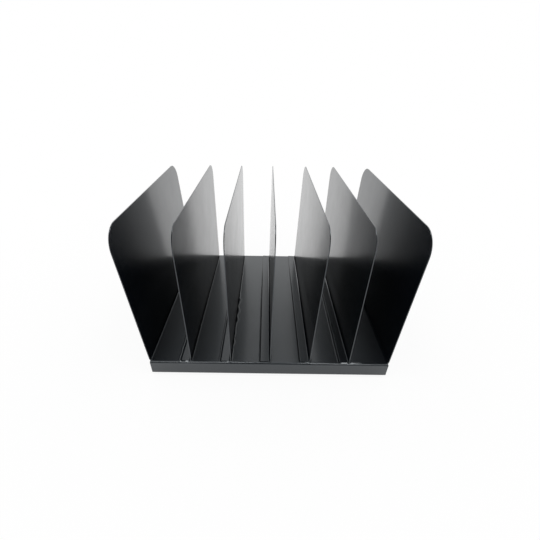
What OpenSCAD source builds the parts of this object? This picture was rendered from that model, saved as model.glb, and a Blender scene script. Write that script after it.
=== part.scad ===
// Desktop file organizer: a folded steel base with two end walls and five welded dividers.
// Millimetres, +Z up, +X along the row of slots, the front faces -Y.
// The origin is on the table, under the middle of the overall width and depth.

/* [Overall] */
// Width of the body, over the feet of its end walls
body_w = 308; // [240:1:400]
// Depth of the base, from the front apron to the rear apron
body_d = 279; // [200:1:360]
// Height of the aprons, from their lower edge to the top of the base
base_h = 21; // [14:0.5:40]
// Distance of the aprons' ends inside the outer faces of the end walls
apron_inset = 1.5; // [0:0.1:3]

/* [Sheet] */
// Thickness of the steel sheet
sheet_t = 1; // [0.8:0.1:1.5]
// Inside radius of every fold
fold_r = 2; // [0.5:0.1:2.5]
// Gap cut in the blank at each corner, so that the folds there don't tear
corner_relief = 0.5; // [0.3:0.1:3]
// Reach of the flange under each apron, from the apron's face
return_w = 16; // [14:0.5:30]

/* [End walls] */
// Height of an end wall above the base
wall_h = 180; // [120:1:260]
// Radius of an end wall's upper corners
wall_corner_r = 25; // [5:0.5:50]
// Outward lean of the left-hand end wall, in degrees
left_wall_angle = 3; // [0:0.1:6]
// Outward lean of the right-hand end wall, in degrees
right_wall_angle = 1.7; // [0:0.1:6]

/* [Dividers] */
// Height of a divider above the base
divider_h = 181; // [120:1:260]
// Radius of a divider's upper corners
divider_corner_r = 22; // [5:0.5:50]
// Width of a divider's welding flange, to the far face of the divider
flange_w = 13.5; // [8:0.5:20]
// Step from a divider's flange back to the front edge of its upright, rounded by a fillet of the same size
web_step = 1; // [0.5:0.5:10]
// Distance of the dividers to the right of an even spacing
divider_shift = 1.2; // [0:0.1:4]
// Lean of each divider to the right, in degrees, from the left one to the right one
divider_angles = [0.2, 0.5, 0.6, 1.7, 0.1];

/* [Rubber feet] */
// Diameter of a foot
foot_d = 12; // [8:0.5:14]
// Height of a foot under the base
foot_h = 2; // [1:0.5:6]
// Rounding of a foot's lower edge
foot_edge_r = 0.8; // [0.2:0.1:1]
// Diameter of the hole that a foot snaps into
foot_hole_d = 5; // [3:0.5:6]
// Diameter of the head that holds a foot in its hole
foot_head_d = 7; // [6.5:0.5:8]
// Height of that head
foot_head_h = 3; // [1.5:0.5:5]
// Distance of a foot's centre from the end of the apron
foot_end_inset = 22; // [12:1:60]

/* [Hidden] */
// Play between a foot's stem and its hole, all round
stem_clearance = 0.05;
// Width of the head's tip as a share of the head
head_tip_share = 0.55;
// Overrun of a cut past the face that it starts from
overrun = 1;
// Outside radius of every fold
fold_outer_r = fold_r + sheet_t;
// Height of the top of the base above the table
base_top = foot_h + base_h;
// Width of the aprons
apron_w = body_w - 2 * apron_inset;
// Depth of the flat top between the two aprons' folds
flat_d = body_d - 2 * fold_outer_r;
// Distance from the centre to where an end wall's fold starts
wall_fold_x = body_w / 2 - fold_outer_r;
// Depth of an end wall, between its corner reliefs
wall_d = flat_d - 2 * corner_relief;
// Reach of a leaning end wall past its foot
function wall_reach(angle) = (sheet_t + wall_h - fold_outer_r) * tan(angle);
// Place of the middle of the base, so that the overall width is centred on the origin
base_x = (wall_reach(left_wall_angle) - wall_reach(right_wall_angle)) / 2;
// One divider for each lean
divider_count = len(divider_angles);
// Distance from one divider to the next
pitch = apron_w / (divider_count + 1);
// Places of the feet from the middle of the base, on the middle of the flat part of the return flanges
foot_x = apron_w / 2 - foot_end_inset;
foot_y = body_d / 2 - (fold_outer_r + return_w) / 2;
// Colours of the black enamel and of the rubber
steel = "#1c1d1f";
rubber = "#0e0e0f";
$fn = 96;

DIVIDERS = [for (i = [1 : divider_count]) str("divider_", i)];
FEET = ["foot_front_left", "foot_front_right", "foot_rear_left", "foot_rear_right"];

// Quarter of a ring, the section of a right-angled fold
module fold_section() {
    reach = 2 * fold_outer_r;
    intersection() {
        difference() {
            circle(fold_outer_r);
            circle(fold_r);
        }
        translate([0, -reach])
            square(reach);
    }
}

// Section of a sheet that lies flat, folds at x = 0 and rises with a lean to the right
module turned_up_section(flat_w, rise, angle) {
    shift = (rise - fold_outer_r) * tan(angle);
    translate([-flat_w, 0])
        square([flat_w, sheet_t]);
    translate([0, fold_outer_r])
        fold_section();
    polygon([
        [fold_r, fold_outer_r],
        [fold_outer_r, fold_outer_r],
        [fold_outer_r + shift, rise],
        [fold_r + shift, rise]
    ]);
}

// Sheet with that section. The child is its outline seen along X, depth by height over the underside.
module turned_up_sheet(flat_w, depth, rise, angle) {
    cut_rise = rise + overrun;
    cut_depth = depth + 2 * overrun;
    cut_w = flat_w + fold_outer_r + cut_rise * tan(angle) + 2 * overrun;
    intersection() {
        translate([0, cut_depth / 2, 0])
            rotate([90, 0, 0])
                linear_extrude(cut_depth)
                    turned_up_section(flat_w, cut_rise, angle);
        translate([-flat_w - overrun, -depth / 2, 0])
            rotate([90, 0, 90])
                linear_extrude(cut_w)
                    children();
    }
}

// Outline of a sheet that rises this far, with two rounded upper corners
module upright_outline(depth, rise, corner_r) {
    translate([0, -overrun])
        square([depth, rise - corner_r + overrun]);
    translate([corner_r, -overrun])
        square([depth - 2 * corner_r, rise + overrun]);
    for (y = [corner_r, depth - corner_r])
        translate([y, rise - corner_r])
            circle(corner_r);
}

// Flat top of the base
module base_sheet() {
    translate([-wall_fold_x, -flat_d / 2, base_top - sheet_t])
        cube([2 * wall_fold_x, flat_d, sheet_t]);
}

// Section of an apron from the top of the base down, seen from the right-hand end:
// the upper fold, the apron, the lower fold and the return flange under it
module apron_section() {
    translate([fold_outer_r, -fold_outer_r])
        rotate(180)
            fold_section();
    translate([0, fold_outer_r - base_h])
        square([sheet_t, base_h - 2 * fold_outer_r]);
    translate([fold_outer_r, fold_outer_r - base_h])
        rotate(-90)
            fold_section();
    translate([fold_outer_r, -base_h])
        square([return_w - fold_outer_r, sheet_t]);
}

// Front apron
module apron() {
    translate([-apron_w / 2, -body_d / 2, base_top])
        rotate([90, 0, 90])
            linear_extrude(apron_w)
                apron_section();
}

// End wall at the right-hand end, with the strip of the base that it rises from
module end_wall(angle) {
    rise = sheet_t + wall_h;
    translate([wall_fold_x, 0, base_top - sheet_t])
        turned_up_sheet(fold_outer_r, wall_d, rise, angle)
            upright_outline(wall_d, rise, wall_corner_r);
}

// Base, end walls and aprons, folded from one sheet
module body() {
    color(steel)
        translate([base_x, 0, 0])
            difference() {
                union() {
                    base_sheet();
                    for (side = [0, 1])
                        mirror([0, side, 0])
                            apron();
                    mirror([1, 0, 0])
                        end_wall(left_wall_angle);
                    end_wall(right_wall_angle);
                }
                for (x = [-foot_x, foot_x], y = [-foot_y, foot_y])
                    translate([x, y, foot_h - overrun])
                        cylinder(h = sheet_t + 2 * overrun, d = foot_hole_d);
            }
}

// Outline of a divider: the upright's front edge stands back from the flange, with a fillet between them
module divider_outline() {
    translate([web_step, 0])
        upright_outline(flat_d - web_step, divider_h, divider_corner_r);
    translate([0, -overrun])
        square([flat_d / 2, fold_outer_r + overrun]);
    translate([0, fold_outer_r])
        difference() {
            square(web_step);
            translate([0, web_step])
                circle(web_step);
        }
}

// Divider number i, counted from 0 at the left: a flange welded to the base, and the upright on it
module divider(i) {
    middle_x = base_x + (i + 1) * pitch - apron_w / 2 + divider_shift;
    color(steel)
        translate([middle_x - fold_r - sheet_t / 2, 0, base_top])
            turned_up_sheet(flange_w - fold_outer_r, flat_d, divider_h, divider_angles[i])
                divider_outline();
}

// Rubber foot that snaps into a hole in a return flange
module foot(side_x, side_y) {
    foot_r = foot_d / 2;
    stem_r = foot_hole_d / 2 - stem_clearance;
    head_r = foot_head_d / 2;
    stem_top = foot_h + sheet_t;
    color(rubber)
        translate([base_x + side_x * foot_x, side_y * foot_y, 0])
            rotate_extrude() {
                square([foot_r - foot_edge_r, foot_h]);
                translate([0, foot_edge_r])
                    square([foot_r, foot_h - foot_edge_r]);
                intersection() {
                    translate([foot_r - foot_edge_r, foot_edge_r])
                        circle(foot_edge_r);
                    square([foot_r, foot_h]);
                }
                square([stem_r, stem_top]);
                polygon([
                    [0, stem_top],
                    [head_r, stem_top],
                    [head_r * head_tip_share, stem_top + foot_head_h],
                    [0, stem_top + foot_head_h]
                ]);
            }
}

body();
for (i = [0 : divider_count - 1])
    divider(i);
foot(-1, -1);  // foot_front_left
foot(1, -1);  // foot_front_right
foot(-1, 1);  // foot_rear_left
foot(1, 1);  // foot_rear_right
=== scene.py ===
"""Desktop file organizer: black enamel on folded sheet steel, on a white studio floor.

Everything is in metres in the part's own frame: +X along the row of slots, +Y to the rear, +Z up.
"""
import math

import bmesh
import bpy
from mathutils import Matrix, Vector, noise


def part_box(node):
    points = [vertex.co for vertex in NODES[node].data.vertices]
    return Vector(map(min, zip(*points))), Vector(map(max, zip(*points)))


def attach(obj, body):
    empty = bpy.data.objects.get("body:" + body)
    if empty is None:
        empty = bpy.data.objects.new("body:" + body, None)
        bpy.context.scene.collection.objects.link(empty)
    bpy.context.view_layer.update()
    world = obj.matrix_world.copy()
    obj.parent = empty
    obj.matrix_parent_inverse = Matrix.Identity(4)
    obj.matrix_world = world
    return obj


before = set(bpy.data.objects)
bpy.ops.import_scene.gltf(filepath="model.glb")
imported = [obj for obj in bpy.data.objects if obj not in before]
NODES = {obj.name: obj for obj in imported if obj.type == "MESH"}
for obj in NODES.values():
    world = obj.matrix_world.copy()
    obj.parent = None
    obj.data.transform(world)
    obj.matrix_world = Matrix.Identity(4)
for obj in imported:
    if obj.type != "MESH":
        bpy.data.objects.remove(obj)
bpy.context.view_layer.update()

MM = 0.001
DIVIDERS = sorted(name for name in NODES if name.startswith("divider_"))
FEET = sorted(name for name in NODES if name.startswith("foot_"))

# Top of the base, the middle of its width, and the width of its aprons
BASE_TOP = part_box("divider_1")[0][2]
BASE_MIDDLE_X = 2.02 * MM
APRON_W = 305.0 * MM
# From a flange's left edge to the far face of its upright
FLANGE_W = 13.5 * MM
# Inner face of the right-hand end wall, level with the top of its fold
RIGHT_WALL_X = 155.0 * MM

# Radius that deburring and paint leave on a sheared edge
SHEARED_EDGE_R = 0.12 * MM
# Length of one step along a strip of enamel or primer, and of one waver in its width
STRIP_STEP = 1.5 * MM
WAVER_LENGTH = 9 * MM
# A tapered strip keeps this share of its height at its ends. Without any it would lie this many mm deep
TAPER_END = 0.2
TAPER_DEPTH = 0.4
# Underside of a strip beside a divider, in mm over the base. It lies inside the base's sheet
SUNK = -0.3
# How wide the enamel rolls over the left edge of each flange, against its usual width
ROLL_SPREAD = [1.6, 1.25, 0.8, 1.0, 1.0]
# Swellings of the seam beside a divider, and of the painted shade in it: place along Y and length in mm,
# and the extra width there against its usual width
SEAM_BULGES = {2: [(-8, 4, 2.5), (-17, 3, 1.0), (-36, 6, 2.0), (-57, 5, 1.5)]}
# Runs of weld along the front of a flange: start and end in mm from its left edge, and size
FRONT_WELDS = {
    1: [(-2.5, 1.5, 1.1), (4.0, 11.0, 1.3)],
    2: [(7.0, 16.0, 0.95)],
    4: [(6.5, 13.0, 0.9)],
    5: [(0.5, 12.0, 1.15), (12.5, 30.0, 0.6)],
}
# How uneven a lump of weld is, against its size
LUMPINESS = 0.25

# The picture's camera: its place, its angles in degrees and the width of its sensor in mm
CAMERA_AT = (-4.62 * MM, -404.55 * MM, 331.6 * MM)
CAMERA_YAW = 0.163
CAMERA_PITCH = 33.666
CAMERA_ROLL = 0.906
SENSOR = 36.0
# The width of the picture, its focal length and the place of its lens's axis, in pixels
IMAGE_W = 540
FOCAL = 307.28
PRINCIPAL_X = 266.06
PRINCIPAL_Y = 277.43

FLOOR_REACH = 6.0
# Share of the shadow that the floor shows to the eye, and how much more of it in gloss
SHADOW_TO_THE_EYE = 0.09
SHADOW_MORE_IN_GLOSS = 0.6
# Distances from the object's middle at which the shadow starts to fade, and from which none is left
SHADOW_FADES = 0.25
SHADOW_GONE = 0.7
# Strength of the room's light on the object
ROOM_LIGHT = 0.76
# The camera's dark stand as gloss shows it: its direction, its half angles, dark and faded out, and its
# strength
STAND_DIRECTION = Vector((0.0, -0.65, 0.76))
STAND_DARK = math.radians(26)
STAND_FADED = math.radians(38)
STAND_STRENGTH = 0.05
# Share of the room's light that is left after one more reflection between the base and an upright: where it
# comes from straight ahead, and where it comes from this far to the side or further
LEFT_FROM_AHEAD = 0.7
LEFT_FROM_THE_SIDE = 0.02
TO_THE_SIDE = 0.4
# Soft boxes over the object
SOFT_BOX_X = {"left": -0.42, "right": 0.5}
SOFT_BOX_Y = -0.15
SOFT_BOX_Z = 1.6
SOFT_BOX_W = 0.4
SOFT_BOX_D = 0.5
SOFT_BOX_POWER = 3.4


def srgb(hex_colour):
    """Linear RGBA of an sRGB colour written as hex."""
    values = [int(hex_colour[i:i + 2], 16) / 255 for i in (1, 3, 5)]
    linear = [v / 12.92 if v <= 0.04045 else ((v + 0.055) / 1.055) ** 2.4 for v in values]
    return (*linear, 1.0)


def add(tree, kind, inputs=None, **settings):
    """Adds a node. Its settings come first, then each input gets a value or the socket that feeds it."""
    node = tree.nodes.new(kind)
    for name, value in settings.items():
        setattr(node, name, value)
    for name, value in (inputs or {}).items():
        if isinstance(value, bpy.types.NodeSocket):
            tree.links.new(value, node.inputs[name])
        else:
            node.inputs[name].default_value = value
    return node


def new_material(name):
    """A new material without nodes, and its node tree."""
    material = bpy.data.materials.new(name)
    material.use_nodes = True
    material.node_tree.nodes.clear()
    return material, material.node_tree


# Finishes

def baked_enamel():
    """Black stoving enamel on cold-rolled steel: sprayed and baked. Its pigmented film is smooth with a
    faint orange peel and mirrors softly what stands near it, and the clear resin that rises to its surface
    adds a sharper reflection on top."""
    material, tree = new_material("baked_enamel")
    place = add(tree, "ShaderNodeTexCoord").outputs["Object"]
    # The film is a little thicker in places, which shifts its depth of black over a hand's width
    film = add(tree, "ShaderNodeTexNoise", {
        "Vector": place, "Scale": 1 / (90 * MM), "Detail": 2.0}).outputs["Fac"]
    black = add(tree, "ShaderNodeMix", {
        "Factor": film, "A": srgb("#04070c"), "B": srgb("#090c12")}, data_type="RGBA")
    # Handling leaves the gloss a little uneven, in patches of 35 mm and less
    haze = add(tree, "ShaderNodeTexNoise", {
        "Vector": place, "Scale": 1 / (35 * MM), "Detail": 5.0, "Roughness": 0.6}).outputs["Fac"]
    rough = add(tree, "ShaderNodeMapRange", {
        "Value": haze, "From Min": 0.3, "From Max": 0.7, "To Min": 0.28, "To Max": 0.33})
    # Orange peel: cells 2 to 3 mm across, a micron or two deep
    peel = add(tree, "ShaderNodeTexNoise", {
        "Vector": place, "Scale": 1 / (2.5 * MM), "Detail": 1.0}).outputs["Fac"]
    bump = add(tree, "ShaderNodeBump", {"Height": peel, "Strength": 0.03, "Distance": 0.05 * MM})
    paint = add(tree, "ShaderNodeBsdfPrincipled", {
        "Base Color": black.outputs["Result"], "Roughness": rough.outputs["Result"],
        "Normal": bump.outputs["Normal"], "IOR": 1.6, "Specular Tint": srgb("#e9f5fd"),
        "Coat Weight": 0.7, "Coat Roughness": 0.13, "Coat IOR": 1.5})
    add(tree, "ShaderNodeOutputMaterial", {"Surface": paint.outputs["BSDF"]})
    return material


def painted_seam_shade():
    """Painted shade for the seams: a near-black matt sheet with little gloss, laid where there is only
    shade.
    Black dip primer: matt, because its pores trap the light. The pores are drawn 1.5 mm apart, coarser
    than real ones, so that they show."""
    material, tree = new_material("painted_seam_shade")
    place = add(tree, "ShaderNodeTexCoord").outputs["Object"]
    grain = add(tree, "ShaderNodeTexNoise", {
        "Vector": place, "Scale": 1 / (1.5 * MM), "Detail": 3.0}).outputs["Fac"]
    # Painted shade: near-black colours with little gloss stand for the shade in a seam
    black = add(tree, "ShaderNodeMix", {
        "Factor": grain, "A": srgb("#010203"), "B": srgb("#06080a")}, data_type="RGBA")
    pores = add(tree, "ShaderNodeBump", {"Height": grain, "Strength": 0.3, "Distance": 0.05 * MM})
    shade_in_seam = add(tree, "ShaderNodeBsdfPrincipled", {
        "Base Color": black.outputs["Result"], "Roughness": 0.8, "Normal": pores.outputs["Normal"],
        "Specular IOR Level": 0.1})
    add(tree, "ShaderNodeOutputMaterial", {"Surface": shade_in_seam.outputs["BSDF"]})
    return material


def moulded_rubber():
    """Black moulded rubber: matt, with a bloom of grey in patches about 3 mm across."""
    material, tree = new_material("moulded_rubber")
    place = add(tree, "ShaderNodeTexCoord").outputs["Object"]
    bloom = add(tree, "ShaderNodeTexNoise", {
        "Vector": place, "Scale": 1 / (3 * MM), "Detail": 4.0}).outputs["Fac"]
    black = add(tree, "ShaderNodeMix", {
        "Factor": bloom, "A": srgb("#121213"), "B": srgb("#262627")}, data_type="RGBA")
    skin = add(tree, "ShaderNodeBump", {"Height": bloom, "Strength": 0.3, "Distance": 0.1 * MM})
    rubber = add(tree, "ShaderNodeBsdfPrincipled", {
        "Base Color": black.outputs["Result"], "Roughness": 0.75, "Normal": skin.outputs["Normal"],
        "IOR": 1.52})
    add(tree, "ShaderNodeOutputMaterial", {"Surface": rubber.outputs["BSDF"]})
    return material


# Edges

def soften_edges(piece):
    """Rounds the sheared edges of a sheet, as paint and deburring do. The triangles of the solid are joined
    to whole faces first, and the faces of a fold stay apart."""
    weld = piece.modifiers.new("join_corners", "WELD")
    weld.merge_threshold = 0.001 * MM
    flat = piece.modifiers.new("whole_faces", "DECIMATE")
    flat.decimate_type = "DISSOLVE"
    flat.angle_limit = math.radians(0.4)
    bevel = piece.modifiers.new("soft_edges", "BEVEL")
    bevel.width = SHEARED_EDGE_R
    bevel.segments = 2
    bevel.limit_method = "ANGLE"
    bevel.angle_limit = math.radians(40)
    bevel.harden_normals = True


def dress_cad_pieces(enamel, rubber):
    """Enamel on the sheets, with softened edges, and rubber on the feet."""
    for name in ["body"] + DIVIDERS:
        NODES[name].material_slots[0].material = enamel
        soften_edges(NODES[name])
    for name in FEET:
        NODES[name].material_slots[0].material = rubber


# Enamel, painted seam shade and weld on the sheets

def finish_piece(name, mesh, material):
    """Turns the mesh into a fixed piece of the object, with smooth faces and sharp ends."""
    bmesh.ops.recalc_face_normals(mesh, faces=mesh.faces)
    data = bpy.data.meshes.new(name)
    mesh.to_mesh(data)
    mesh.free()
    data.shade_smooth()
    data.set_sharp_from_angle(angle=math.radians(60))
    data.materials.append(material)
    piece = bpy.data.objects.new(name, data)
    bpy.context.scene.collection.objects.link(piece)
    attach(piece, "root")


def smooth_through(points, steps=4):
    """Points of a smooth curve through these ones."""
    padded = [points[0], *points, points[-1]]
    curve = []
    for near in zip(padded, padded[1:], padded[2:], padded[3:]):
        for i in range(steps):
            t = i / steps
            curve.append([0.5 * (2 * b + (c - a) * t + (2 * a - 5 * b + 4 * c - d) * t ** 2
                                 + (3 * b - a - 3 * c + d) * t ** 3) for a, b, c, d in zip(*near)])
    curve.append(list(points[-1]))
    return curve


def seam_strip(name, material, line, start, end, skin, underside, outward, along="Y", waver=0.2,
               bulges=(), taper=0.0):
    """Closed strip beside a line that runs along Y or X. skin is its upper surface and underside the points
    below, in (mm from the line, mm over the base). On the outward side of the line, 1 or -1, it wavers in
    width and swells at the bulges. At its ends it sinks away into the base over the length of the taper."""
    section = smooth_through(skin) + [list(p) for p in underside]
    count = max(6, round((end - start) / STRIP_STEP))
    mesh = bmesh.new()
    rings = []
    for i in range(count + 1):
        at = start + (end - start) * i / count
        width = 1 + waver * noise.noise((line / MM, at / WAVER_LENGTH, 0))
        width += sum(extra * math.exp(-((at / MM - place) / length) ** 2)
                     for place, length, extra in bulges)
        rise = 1.0
        if taper:
            rise = min(1.0, (min(at - start, end - at) + TAPER_END * taper) / taper)
        ring = []
        for across, z in section:
            across = line + MM * across * (width if across * outward > 0 else 1)
            z = BASE_TOP + MM * (z if rise == 1.0 else z * rise - TAPER_DEPTH * (1 - rise))
            ring.append(mesh.verts.new((across, at, z) if along == "Y" else (at, across, z)))
        rings.append(ring)
    for ring, following in zip(rings, rings[1:]):
        for j in range(len(ring)):
            k = (j + 1) % len(ring)
            mesh.faces.new((ring[j], ring[k], following[k], following[j]))
    mesh.faces.new(rings[0])
    mesh.faces.new(rings[-1])
    finish_piece(name, mesh, material)


def enamel_on_flange(number, enamel):
    """The enamel on a divider's flange: it stands up a little at the left edge, rolls over it and ends in a
    low ridge on the base."""
    low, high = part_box(f"divider_{number}")
    spread = ROLL_SPREAD[number - 1]
    skin = [(-2.4, 0.0), (-1.55, 0.14), (-0.8, 0.03), (-0.55, 0.15), (-0.4, 0.6), (-0.1, 0.98), (0.4, 1.2),
            (1.0, 1.26)]
    skin = [(x * spread, z) for x, z in skin] + [(3.0, 1.21), (10.4, 1.02)]
    underside = [(10.4, 0.9), (-0.3, 0.4), (-0.3, SUNK), (-2.4 * spread, SUNK)]
    seam_strip(f"flange_enamel_{number}", enamel, low[0], low[1], high[1], skin, underside, outward=-1)


def seam_beside_upright(number, enamel, shade_in_seam):
    """The seam under the outside of a divider's fold. A strip of painted shade lies in it, and the enamel
    on the base ends in a low ridge beside it. Where the seam has swellings, it wavers more."""
    low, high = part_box(f"divider_{number}")
    start, end = low[1] + 1 * MM, high[1] - 1 * MM
    right_face = low[0] + FLANGE_W
    bulges = SEAM_BULGES.get(number, ())
    waver = 0.9 if bulges else 0.3
    skin = [(-2.0, 0.1), (-1.2, 0.5), (-0.4, 0.34), (0.15, 0.2), (0.6, -0.02)]
    # Painted shade: a near-black matt strip laid in the seam, where there is only shade
    seam_strip(f"painted_seam_shade_{number}", shade_in_seam, right_face, start, end, skin, [(0.6, SUNK), (-2.0, SUNK)],
               outward=1, waver=waver, bulges=bulges)
    ridge = [(0.2, -0.1), (0.55, 0.09), (0.8, 0.13), (1.9, 0.0)]
    seam_strip(f"seam_enamel_{number}", enamel, right_face, start, end, ridge, [(1.9, SUNK), (0.2, SUNK)],
               outward=1, waver=waver, bulges=bulges)


def enamel_on_fold(side, enamel):
    """The enamel on the long fold over the front or rear apron, a little thicker than on a flat sheet."""
    low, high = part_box("divider_1")
    line, outward = (low[1], -1) if side == "front" else (high[1], 1)
    start, end = BASE_MIDDLE_X - APRON_W / 2, BASE_MIDDLE_X + APRON_W / 2
    skin = [(-0.8, 0.0), (0.0, 0.05), (1.1, -0.3), (2.2, -0.75), (2.85, -1.5), (3.08, -2.4), (3.02, -3.3)]
    underside = [(2.5, -3.3), (1.5, -2.0), (-0.8, -0.4)]
    seam_strip(f"fold_enamel_{side}", enamel, line, start, end, [(x * outward, z) for x, z in skin],
               [(x * outward, z) for x, z in underside], outward, along="X", waver=0.03)


def enamel_in_corner(enamel):
    """The enamel that pooled in the fold of the right-hand end wall."""
    low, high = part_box("divider_1")
    skin = [(-2.9, 0.0), (-2.6, 0.06), (-0.15, 2.4), (0.02, 2.7)]
    seam_strip("corner_enamel", enamel, RIGHT_WALL_X, low[1], high[1], skin,
               [(0.3, 2.7), (0.3, -0.2), (-2.9, -0.2)], outward=-1, waver=0.05)


def weld_bead(name, place, size, enamel, seed):
    """Small lump of weld under the enamel. place is in mm, with its height over the base, and size is its
    half width, half depth and half height in mm. The seed makes each lump different."""
    mesh = bmesh.new()
    bmesh.ops.create_icosphere(mesh, subdivisions=3, radius=1.0)
    for vert in mesh.verts:
        swell = 1 + LUMPINESS * noise.noise(vert.co * 1.3 + Vector((seed, 0, 0)))
        swollen = Vector([(p + swell * c * s) * MM for p, c, s in zip(place, vert.co, size)])
        vert.co = swollen + Vector((0, 0, BASE_TOP))
    finish_piece(name, mesh, enamel)


def welds(enamel):
    """A bead at the foot of each upright's front edge, and runs of weld along the front of four of the
    flanges, which fill the corner between the flange and the fold of the base."""
    for number, name in enumerate(DIVIDERS, 1):
        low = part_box(name)[0]
        right_face = (low[0] + FLANGE_W) / MM
        weld_bead(f"upright_weld_{number}", (right_face - 0.8, low[1] / MM - 0.1, 0.35), (1.5, 0.9, 0.9),
                  enamel, number)
        for run, (start, end, size) in enumerate(FRONT_WELDS.get(number, ()), 1):
            skin = [(0.3, 0.45 * size), (0.0, 0.4 * size), (-1.0 * size, -0.04),
                    (-1.9 * size, -0.46 * size), (-2.25 * size, -0.95 * size)]
            seam_strip(f"flange_weld_{number}_{run}", enamel, low[1], low[0] + start * MM,
                       low[0] + end * MM, skin, [(-2.0 * size, -1.3), (0.3, -1.3)], outward=-1, along="X",
                       waver=0.25, taper=1.5 * MM)


# Studio

def white_floor():
    """Seamless white floor. It shows as the white of the backdrop and keeps the object's soft shadow."""
    mesh = bpy.data.meshes.new("floor")
    corners = [(-1, -1), (1, -1), (1, 1), (-1, 1)]
    mesh.from_pydata([(x * FLOOR_REACH, y * FLOOR_REACH, 0) for x, y in corners], [], [(0, 1, 2, 3)])
    floor = bpy.data.objects.new("floor", mesh)
    bpy.context.scene.collection.objects.link(floor)
    material, tree = new_material("floor_white")
    paper = add(tree, "ShaderNodeBsdfDiffuse", {"Color": srgb("#ffffff")}).outputs["BSDF"]
    glow = add(tree, "ShaderNodeEmission", {"Color": srgb("#ffffff"), "Strength": 1.0}).outputs["Emission"]
    # The shadow shows on the paper round the object, and further out the floor is plain white
    ray = add(tree, "ShaderNodeLightPath")
    share = add(tree, "ShaderNodeMath", {
        0: ray.outputs["Is Glossy Ray"], 1: SHADOW_MORE_IN_GLOSS, 2: SHADOW_TO_THE_EYE},
        operation="MULTIPLY_ADD").outputs["Value"]
    place = add(tree, "ShaderNodeTexCoord").outputs["Object"]
    away = add(tree, "ShaderNodeVectorMath", {0: place}, operation="LENGTH").outputs["Value"]
    near = add(tree, "ShaderNodeMapRange", {
        "Value": away, "From Min": SHADOW_FADES, "From Max": SHADOW_GONE, "To Min": share, "To Max": 0.0},
        interpolation_type="SMOOTHSTEP").outputs["Result"]
    shown = add(tree, "ShaderNodeMixShader", {0: near, 1: glow, 2: paper}).outputs["Shader"]
    seen = add(tree, "ShaderNodeMath", {
        0: ray.outputs["Is Camera Ray"], 1: ray.outputs["Is Glossy Ray"]},
        operation="MAXIMUM").outputs["Value"]
    white = add(tree, "ShaderNodeMixShader", {0: seen, 1: paper, 2: shown}).outputs["Shader"]
    add(tree, "ShaderNodeOutputMaterial", {"Surface": white})
    mesh.materials.append(material)


def room_in_gloss(tree, ray):
    """How bright the room is in gloss, which shows the camera's dark stand in front of the object, above.

    The base mirrors mostly light that swings from side to side, and an upright mirrors that light least.
    So little is left of the room's light that comes by both, the less the more squarely it meets the
    upright. The renderer doesn't follow this polarisation, so the room is darker for light that gloss
    mirrors again."""
    toward = add(tree, "ShaderNodeTexCoord").outputs["Generated"]
    facing = add(tree, "ShaderNodeVectorMath", {0: toward, 1: STAND_DIRECTION},
                 operation="DOT_PRODUCT").outputs["Value"]
    past_stand = add(tree, "ShaderNodeMapRange", {
        "Value": facing, "From Min": math.cos(STAND_FADED), "From Max": math.cos(STAND_DARK),
        "To Min": 1.0, "To Max": STAND_STRENGTH}, interpolation_type="SMOOTHSTEP").outputs["Result"]
    across = add(tree, "ShaderNodeSeparateXYZ", {"Vector": toward}).outputs["X"]
    to_the_side = add(tree, "ShaderNodeMath", {0: across}, operation="ABSOLUTE").outputs["Value"]
    left_each_time = add(tree, "ShaderNodeMapRange", {
        "Value": to_the_side, "From Min": 0.0, "From Max": TO_THE_SIDE,
        "To Min": LEFT_FROM_AHEAD, "To Max": LEFT_FROM_THE_SIDE}).outputs["Result"]
    times_again = add(tree, "ShaderNodeMath", {0: ray.outputs["Glossy Depth"], 1: 1.0},
                      operation="SUBTRACT").outputs["Value"]
    still_left = add(tree, "ShaderNodeMath", {0: left_each_time, 1: times_again},
                     operation="POWER").outputs["Value"]
    return add(tree, "ShaderNodeMath", {0: past_stand, 1: still_left},
               operation="MULTIPLY").outputs["Value"]


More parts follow.
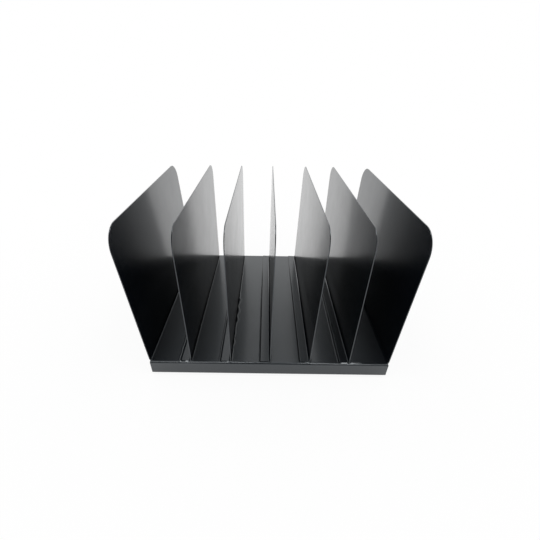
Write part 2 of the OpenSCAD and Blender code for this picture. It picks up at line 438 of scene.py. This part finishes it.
def white_room():
    """A white room of even light. It shows as plain white, except in gloss."""
    world = bpy.data.worlds.new("white_room")
    bpy.context.scene.world = world
    world.use_nodes = True
    tree = world.node_tree
    tree.nodes.clear()
    ray = add(tree, "ShaderNodeLightPath")
    mirrored = add(tree, "ShaderNodeMath", {
        0: ray.outputs["Is Glossy Ray"], 1: ray.outputs["Is Transmission Ray"]},
        operation="MAXIMUM").outputs["Value"]
    seen = add(tree, "ShaderNodeMath", {0: ray.outputs["Is Camera Ray"], 1: mirrored},
               operation="MAXIMUM").outputs["Value"]
    shown = add(tree, "ShaderNodeMix", {
        "Factor": mirrored, "A": 1.0, "B": room_in_gloss(tree, ray)}).outputs["Result"]
    strength = add(tree, "ShaderNodeMix", {"Factor": seen, "A": ROOM_LIGHT, "B": shown}).outputs["Result"]
    room = add(tree, "ShaderNodeBackground", {"Color": srgb("#ffffff"), "Strength": strength})
    add(tree, "ShaderNodeOutputWorld", {"Surface": room.outputs["Background"]})


def soft_boxes():
    """Two soft boxes overhead."""
    for side, x in SOFT_BOX_X.items():
        lamp = bpy.data.lights.new(f"soft_box_{side}", "AREA")
        lamp.shape = "RECTANGLE"
        lamp.size = SOFT_BOX_W
        lamp.size_y = SOFT_BOX_D
        lamp.energy = SOFT_BOX_POWER
        box = bpy.data.objects.new(f"soft_box_{side}", lamp)
        box.location = (x, SOFT_BOX_Y, SOFT_BOX_Z)
        bpy.context.scene.collection.objects.link(box)


def picture_camera():
    """The camera of the picture, from its place, its three angles and its lens."""
    lens = bpy.data.cameras.new("camera")
    lens.sensor_width = SENSOR
    lens.lens = FOCAL / IMAGE_W * SENSOR
    lens.shift_x = (IMAGE_W / 2 - PRINCIPAL_X) / IMAGE_W
    lens.shift_y = (PRINCIPAL_Y - IMAGE_W / 2) / IMAGE_W
    lens.clip_start = 0.01
    camera = bpy.data.objects.new("camera", lens)
    turn = (Matrix.Rotation(math.radians(-CAMERA_YAW), 4, "Z")
            @ Matrix.Rotation(math.radians(90 - CAMERA_PITCH), 4, "X")
            @ Matrix.Rotation(math.radians(CAMERA_ROLL), 4, "Z"))
    camera.matrix_world = Matrix.Translation(CAMERA_AT) @ turn
    bpy.context.scene.collection.objects.link(camera)
    bpy.context.scene.camera = camera


# The scene

picture_camera()
enamel = baked_enamel()
# Painted shade for the seams beside the uprights
shade_in_seam = painted_seam_shade()
dress_cad_pieces(enamel, moulded_rubber())
for number in range(1, len(DIVIDERS) + 1):
    enamel_on_flange(number, enamel)
    seam_beside_upright(number, enamel, shade_in_seam)
enamel_on_fold("front", enamel)
enamel_on_fold("rear", enamel)
enamel_in_corner(enamel)
welds(enamel)
white_floor()
white_room()
soft_boxes()
bpy.context.scene.view_settings.view_transform = "Standard"
